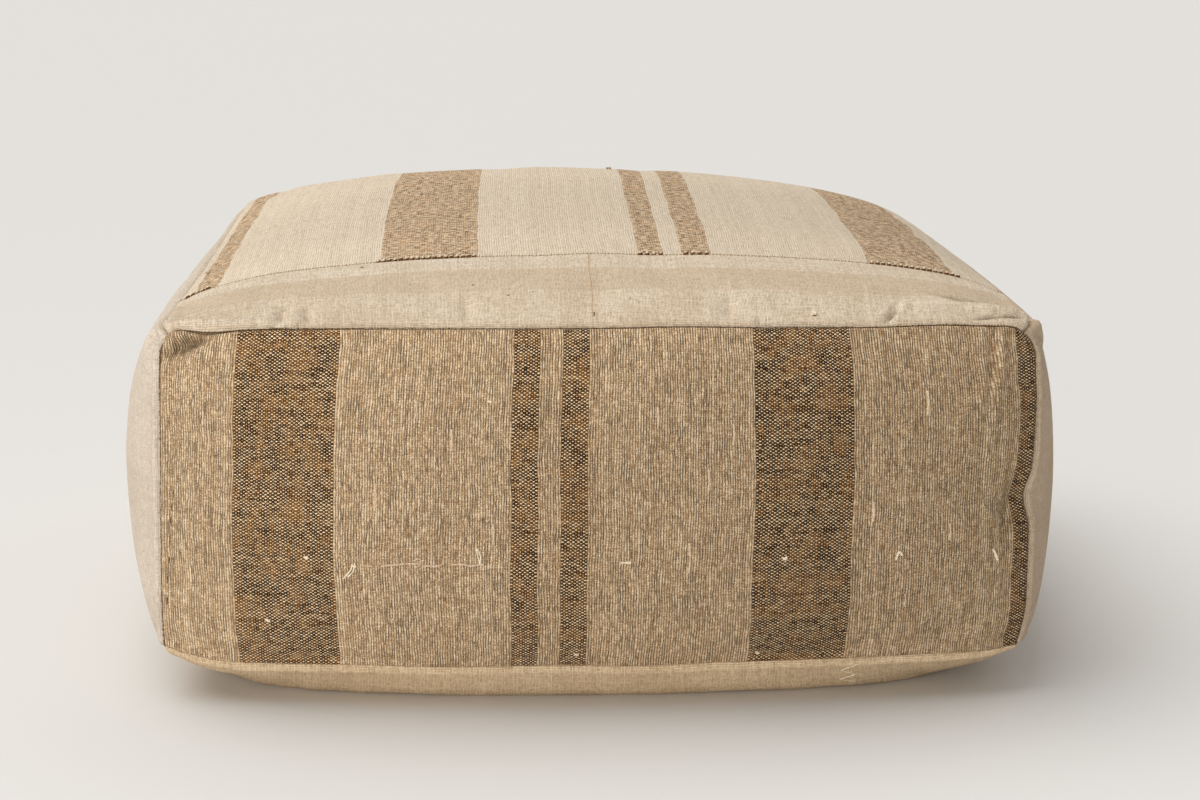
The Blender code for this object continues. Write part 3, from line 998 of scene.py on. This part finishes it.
cushion_mesh = new_mesh("filled_cushion", body_points, np.concatenate(body_quads))
cushion_uv = cushion_mesh.uv_layers.new(name="cloth")
cushion_uv.data.foreach_set("uv", np.concatenate(body_uv).ravel())
cushion = add_piece("filled_cushion", cushion_mesh)
cushion.data.materials.append(plain_linen("bottom_linen", BOTTOM_TONES, "bottom"))
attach(cushion, "root")
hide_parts("filled_body")

# --------------------------------------------------
# Sewing thread. Thick olive-brown thread lies in the seams, and a cream one whips the strip
# to the striped top. Stitches and laid threads are grown along paths by Geometry Nodes.
# --------------------------------------------------
STITCH_SIDES = 6
STITCH_RINGS = 4
THREAD_SIDES = 6
THREAD_STEP = 0.0008
THREAD_GRAIN = 900.0


SOCKET_KINDS = {
    "Geometry": "NodeSocketGeometry", "Seed": "NodeSocketInt", "Material": "NodeSocketMaterial",
}


def path_nodes(name, *inputs):
    """A Geometry Nodes tree that starts from paths, with named inputs. Gives back how to add
    a node to it, its inputs and how to end it."""
    tree = bpy.data.node_groups.new(name, "GeometryNodeTree")
    for socket_name in ("Geometry", *inputs, "Material"):
        kind = SOCKET_KINDS.get(socket_name, "NodeSocketFloat")
        tree.interface.new_socket(socket_name, in_out="INPUT", socket_type=kind)
    tree.interface.new_socket("Geometry", in_out="OUTPUT", socket_type="NodeSocketGeometry")
    entry = tree.nodes.new("NodeGroupInput")

    def add(kind, links=(), **settings):
        node = tree.nodes.new(kind)
        for setting, value in settings.items():
            setattr(node, setting, value)
        for socket_name, value in links:
            socket = node.inputs[socket_name]
            if isinstance(value, bpy.types.NodeSocket):
                tree.links.new(value, socket)
            else:
                socket.default_value = value
        return node

    def end(geometry):
        smooth = add("GeometryNodeSetShadeSmooth", (("Geometry", geometry),))
        real = add("GeometryNodeRealizeInstances", (("Geometry", smooth.outputs[0]),))
        coloured = add("GeometryNodeSetMaterial", (
            ("Geometry", real.outputs[0]), ("Material", entry.outputs["Material"])))
        leave = tree.nodes.new("NodeGroupOutput")
        tree.links.new(coloured.outputs[0], leave.inputs["Geometry"])
        return tree

    return add, entry.outputs, end


def stitch_nodes():
    """Stitches laid at even steps along paths, each turned and sized a little differently."""
    add, given, end = path_nodes(
        "stitches", "Spacing", "Length", "Thickness", "Slant", "Lift", "Uneven", "Seed")
    outward = add("GeometryNodeInputNamedAttribute", (("Name", "outward"),), data_type="FLOAT_VECTOR")
    curve = add("GeometryNodeMeshToCurve", (("Mesh", given["Geometry"]),))
    spread = add("GeometryNodeCurveToPoints", (
        ("Curve", curve.outputs[0]), ("Length", given["Spacing"])), mode="LENGTH")
    lift = add("ShaderNodeVectorMath", (
        (0, outward.outputs[0]), ("Scale", given["Lift"])), operation="SCALE")
    raised = add("GeometryNodeSetPosition", (
        ("Geometry", spread.outputs["Points"]), ("Offset", lift.outputs[0])))
    along = add("FunctionNodeAlignRotationToVector", (
        ("Vector", spread.outputs["Tangent"]),), axis="X")
    facing = add("FunctionNodeAlignRotationToVector", (
        ("Rotation", along.outputs[0]), ("Vector", outward.outputs[0])), axis="Z", pivot_axis="X")
    turn = add("FunctionNodeRandomValue", (("Seed", given["Seed"]),))
    spare = add("ShaderNodeMath", ((0, turn.outputs[1]), (1, 0.5)), operation="SUBTRACT")
    shaken = add("ShaderNodeMath", (
        (0, spare.outputs[0]), (1, given["Uneven"]), (2, given["Slant"])), operation="MULTIPLY_ADD")
    slant = add("ShaderNodeCombineXYZ", (("Z", shaken.outputs[0]),))
    turned = add("FunctionNodeRotateRotation", (
        ("Rotation", facing.outputs[0]), ("Rotate By", slant.outputs[0])), rotation_space="LOCAL")
    bead = add("GeometryNodeMeshUVSphere", (
        ("Segments", STITCH_SIDES), ("Rings", STITCH_RINGS), ("Radius", 0.5)))
    size = add("ShaderNodeCombineXYZ", (
        ("X", given["Length"]), ("Y", given["Thickness"]), ("Z", given["Thickness"])))
    shaped = add("GeometryNodeTransform", (("Geometry", bead.outputs[0]), ("Scale", size.outputs[0])))
    grow = add("FunctionNodeRandomValue", ((2, 0.75), (3, 1.2), ("Seed", given["Seed"])))
    placed = add("GeometryNodeInstanceOnPoints", (
        ("Points", raised.outputs[0]), ("Instance", shaped.outputs[0]),
        ("Rotation", turned.outputs[0]), ("Scale", grow.outputs[1])))
    return end(placed.outputs[0])


def thread_nodes():
    """A round thread along each path, thinner and thicker along its length."""
    add, given, end = path_nodes("laid_thread", "Thickness", "Uneven")
    curve = add("GeometryNodeMeshToCurve", (("Mesh", given["Geometry"]),))
    even = add("GeometryNodeResampleCurve", (
        ("Curve", curve.outputs[0]), ("Length", THREAD_STEP)), mode="LENGTH")
    place = add("GeometryNodeInputPosition")
    lumps = add("ShaderNodeTexNoise", (("Vector", place.outputs[0]), ("Scale", 300.0)))
    spare = add("ShaderNodeMath", ((0, lumps.outputs["Fac"]), (1, 0.5)), operation="SUBTRACT")
    lumpy = add("ShaderNodeMath", (
        (0, spare.outputs[0]), (1, given["Uneven"]), (2, 1.0)), operation="MULTIPLY_ADD")
    ring = add("GeometryNodeCurvePrimitiveCircle", (("Resolution", THREAD_SIDES), ("Radius", 0.5)))
    thick = add("ShaderNodeMath", (
        (0, given["Thickness"]), (1, lumpy.outputs[0])), operation="MULTIPLY")
    tube = add("GeometryNodeCurveToMesh", (
        ("Curve", even.outputs[0]), ("Profile Curve", ring.outputs[0]),
        ("Scale", thick.outputs[0]), ("Fill Caps", True)))
    return end(tube.outputs[0])


stitches = stitch_nodes()
laid_thread = thread_nodes()


def grown(name, tree, paths, slot, material, **values):
    """The mesh piece that a tree grows along paths, which are pairs of points and outward."""
    points = np.concatenate([path for path, outward in paths])
    ends = np.cumsum([len(path) for path, outward in paths])
    edges = [(i, i + 1) for i in range(len(points) - 1) if i + 1 not in ends]
    mesh = bpy.data.meshes.new(name + "_paths")
    mesh.from_pydata(points.tolist(), edges, [])
    facing = mesh.attributes.new("outward", "FLOAT_VECTOR", "POINT")
    facing.data.foreach_set("vector", np.concatenate([outward for path, outward in paths]).ravel())
    holder = add_piece(name + "_paths", mesh)
    modifier = holder.modifiers.new(name, "NODES")
    modifier.node_group = tree
    values["material"] = material
    for item in tree.interface.items_tree:
        if item.in_out == "INPUT" and item.name.lower() in values:
            modifier[item.identifier] = values[item.name.lower()]
    evaluated = holder.evaluated_get(bpy.context.evaluated_depsgraph_get())
    piece = add_piece(name, bpy.data.meshes.new_from_object(evaluated))
    bpy.data.objects.remove(holder)
    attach(piece, "root")
    return piece


def thread_material(name, light, dark):
    """Spun thread in two tones."""
    material = bpy.data.materials.new(name)
    material.use_nodes = True
    tree = material.node_tree
    place = tree.nodes.new("ShaderNodeTexCoord")
    x, y, z = parts(tree, Wire(tree, place.outputs["Object"]))
    spun = noise(tree, x * THREAD_GRAIN, (y + z) * THREAD_GRAIN, 1.0)
    colour = mixed(tree, spun.between(0.3, 0.7), dark, light)
    cloth_finish(tree, colour, spun, 0.0003)
    return material


olive_thread = thread_material("olive_thread", (0.23, 0.15, 0.075, 1), (0.085, 0.050, 0.022, 1))
tan_thread = thread_material("tan_thread", (0.62, 0.47, 0.30, 1), (0.40, 0.27, 0.15, 1))
cream_thread = thread_material("cream_thread", (0.88, 0.78, 0.62, 1), (0.70, 0.56, 0.38, 1))
brown_thread = thread_material("brown_thread", (0.22, 0.11, 0.045, 1), (0.09, 0.040, 0.014, 1))


def seam_path(layout, columns, rows):
    """A run of a layout's points and which way is out there."""
    return layout.points[columns, rows].reshape(-1, 3), layout.outward[columns, rows].reshape(-1, 3)


WHOLE = slice(None)
panel_seams = [
    seam_path(layout, columns, rows)
    for layout in striped_layouts.values()
    for columns, rows in ((WHOLE, -1), (WHOLE, 0), (0, WHOLE), (-1, WHOLE))
]
grown("seam_stitches", stitches, panel_seams, "front_stripe_cloth", olive_thread,
      spacing=0.0021, length=0.0034, thickness=0.0014, slant=0.5, lift=0.0013, uneven=0.5, seed=3)

strip_seam = seam_path(top_layout, WHOLE, strip_seam_column(top_layout))
grown("whip_stitches", stitches, [strip_seam], "strip_linen", tan_thread,
      spacing=0.0026, length=0.0030, thickness=0.0010, slant=0.95, lift=0.0006, uneven=0.6, seed=5)


def stripe_runs(path, outward, stripes):
    """The runs of a path that cross the given stripes, by share of the path's own length.

    Where the path bends near its ends they stray some millimetres from the woven stripes.
    """
    run = np.insert(np.cumsum(np.linalg.norm(np.diff(path, axis=0), axis=-1)), 0, 0.0)
    share = (run / run[-1] - 0.5) * 2
    runs = []
    for stripe in stripes:
        inside = (share > stripe.start) & (share < stripe.end)
        runs.append((path[inside], outward[inside]))
    return runs


crossed = stripe_runs(*strip_seam, TOP_STRIPES)
grown("dark_whip_stitches", stitches, crossed, "top_stripe_cloth", brown_thread,
      spacing=0.0040, length=0.0052, thickness=0.0030, slant=0.85, lift=0.0010, uneven=0.5, seed=7)
grown("pale_whip_stitches", stitches, crossed, "strip_linen", cream_thread,
      spacing=0.0040, length=0.0038, thickness=0.0020, slant=0.95, lift=0.0022, uneven=0.5, seed=8)

# --------------------------------------------------
# Mending and loose threads, placed after the photo. A pale thread mends the front in
# one row, with a knot, and slubs, nubs, marks and thread ends lie about it.
# --------------------------------------------------


def on_cloth(layout, places, lift):
    """Points on a laid-out face at places given as shares, and which way is out there."""
    u_rows, v_rows = layout.rows
    points = []
    facings = []
    for u, v in places:
        i = min(max(int(np.searchsorted(u_rows, u)), 1), len(u_rows) - 1)
        j = min(max(int(np.searchsorted(v_rows, v)), 1), len(v_rows) - 1)
        s = (u - u_rows[i - 1]) / (u_rows[i] - u_rows[i - 1])
        t = (v - v_rows[j - 1]) / (v_rows[j] - v_rows[j - 1])
        for found, values in ((points, layout.points), (facings, layout.outward)):
            low = values[i - 1, j - 1] * (1 - s) + values[i, j - 1] * s
            high = values[i - 1, j] * (1 - s) + values[i, j] * s
            found.append(low * (1 - t) + high * t)
    return np.array(points) + np.array(facings) * lift, np.array(facings)


def curved(places, count=14):
    """A soft curve through places, as more of them."""
    places = np.array(places, float)
    rows = np.linspace(-1, 1, count * (len(places) - 1) + 1)
    return blend_weights(len(places) - 1, rows) @ places


def lay_threads(name, layout, paths, lift, slot, material, **sizes):
    """The piece of round threads that lie on a layout along paths of shares."""
    placed = [on_cloth(layout, path, lift) for path in paths]
    grown(name, laid_thread, placed, slot, material, **sizes)


MENDS = (
    ((-0.530, -0.331), (-0.505, -0.336)),
    ((-0.485, -0.333), (-0.450, -0.322), (-0.420, -0.316), (-0.398, -0.318)),
    ((-0.390, -0.326), (-0.365, -0.330), (-0.348, -0.318), (-0.346, -0.285)),
    ((-0.330, -0.322), (-0.300, -0.320), (-0.285, -0.328), (-0.255, -0.315)),
    ((-0.412, -0.300), (-0.402, -0.286), (-0.396, -0.305), (-0.404, -0.336), (-0.413, -0.318)),
)
THREAD_ENDS = (
    ((-0.550, -0.322), (-0.554, -0.360), (-0.570, -0.412)),
    ((-0.548, -0.328), (-0.547, -0.362), (-0.560, -0.402)),
    ((-0.545, -0.318), (-0.543, -0.345)),
    ((-0.272, -0.215), (-0.269, -0.260), (-0.263, -0.315)),
    ((-0.269, -0.225), (-0.262, -0.268), (-0.263, -0.308)),
)
mend_thread = thread_material("mend_thread", (0.72, 0.57, 0.41, 1), (0.52, 0.38, 0.25, 1))
lay_threads("mending_thread", front_layout, map(curved, MENDS), 0.0002,
            "front_stripe_cloth", mend_thread, thickness=0.0012, uneven=1.8)
lay_threads("thread_ends", front_layout, map(curved, THREAD_ENDS), 0.0007,
            "front_stripe_cloth", cream_thread, thickness=0.0012, uneven=1.6)
NUBS = (
    ((-0.660, -0.288), (-0.652, -0.300)), ((-0.657, -0.300), (-0.650, -0.290)),
    ((0.414, -0.300), (0.424, -0.314)), ((0.418, -0.315), (0.426, -0.300)),
    ((0.676, -0.345), (0.682, -0.300), (0.690, -0.320)),
    ((0.905, -0.330), (0.912, -0.360), (0.918, -0.400)),
    ((0.052, -0.313), (0.075, -0.315)), ((-0.750, -0.680), (-0.740, -0.694)),
    ((-0.050, -0.900), (-0.040, -0.902)), ((0.366, -0.915), (0.372, -0.925)),
    ((-0.250, 0.613), (-0.240, 0.610)),
)
lay_threads("nubs", front_layout, map(curved, NUBS), 0.0003,
            "front_stripe_cloth", cream_thread, thickness=0.0019, uneven=1.6)
# where a slub starts, and its length
SLUBS = (
    (-0.460, -0.620, 0.05), (0.300, 0.480, 0.12), (0.245, 0.230, 0.14), (0.620, 0.010, 0.12),
    (0.740, 0.640, 0.14), (-0.500, 0.150, 0.16), (0.130, 0.580, 0.12), (0.205, -0.200, 0.18),
    (-0.330, 0.460, 0.12), (-0.410, 0.620, 0.10), (0.800, -0.150, 0.10), (-0.880, 0.420, 0.12),
    (-0.920, -0.120, 0.10), (0.700, -0.560, 0.08), (0.090, -0.450, 0.12), (-0.235, -0.080, 0.12),
)
slub_paths = [curved(((u, v), (u + 0.002, v - length / 2), (u, v - length))) for u, v, length in SLUBS]
lay_threads("slubs", front_layout, slub_paths, -0.0002,
            "front_stripe_cloth", mend_thread, thickness=0.0016, uneven=2.0)
STITCH_HOLES = (
    (-0.965, 0.030), (-0.969, -0.050), (-0.971, -0.127), (-0.973, -0.247), (-0.976, -0.367),
    (-0.980, -0.487), (-0.980, -0.613),
)
hole_paths = [((u, v - 0.022), (u + 0.001, v + 0.022)) for u, v in STITCH_HOLES]
lay_threads("stitch_holes", front_layout, hole_paths, -0.0002,
            "front_stripe_cloth", brown_thread, thickness=0.0010, uneven=1.0)
STRIP_MARKS = (
    ((-0.0105, -0.972), (-0.010, -0.960)), ((-0.553, -0.650), (-0.548, -0.646)),
    ((-0.287, -0.833), (-0.283, -0.833)), ((-0.207, -0.893), (-0.203, -0.893)),
    ((0.487, -0.973), (0.493, -0.971)),
)
lay_threads("strip_marks", top_layout, STRIP_MARKS, 0.0001,
            "strip_linen", olive_thread, thickness=0.0009, uneven=1.0)
TOP_THREADS = (
    ((-0.955, -0.250), (-0.962, -0.240), (-0.966, -0.225)),
    ((0.098, 0.640), (0.094, 0.655), (0.086, 0.660)), ((0.092, 0.648), (0.097, 0.662)),
)
lay_threads("top_threads", top_layout, map(curved, TOP_THREADS), 0.0012,
            "top_stripe_cloth", tan_thread, thickness=0.0016, uneven=1.8)
STRIP_NUBS = (((0.486, -0.966), (0.494, -0.962)), ((0.488, -0.960), (0.495, -0.968)))
lay_threads("strip_nubs", top_layout, STRIP_NUBS, 0.0006,
            "strip_linen", cream_thread, thickness=0.0024, uneven=1.4)
RED_THREAD = ((-0.010, -0.615), (-0.014, -0.740), (-0.012, -0.867), (-0.016, -0.990))
red_thread = thread_material("red_thread", (0.62, 0.43, 0.28, 1), (0.50, 0.33, 0.20, 1))
lay_threads("red_thread", top_layout, [curved(RED_THREAD)], 0.0,
            "strip_linen", red_thread, thickness=0.0007, uneven=1.6)

# A zigzag of thread, where the photo has a pinched and stitched join in the bottom linen.
# The pinch itself isn't modelled.
DARN = [(0.585 + 0.018 * (-1) ** step, -0.992 + 0.018 * step) for step in range(5)]
lay_threads("bottom_darn", body_layouts["bottom"], [DARN], 0.0003,
            "bottom_linen", cream_thread, thickness=0.0008, uneven=1.0)
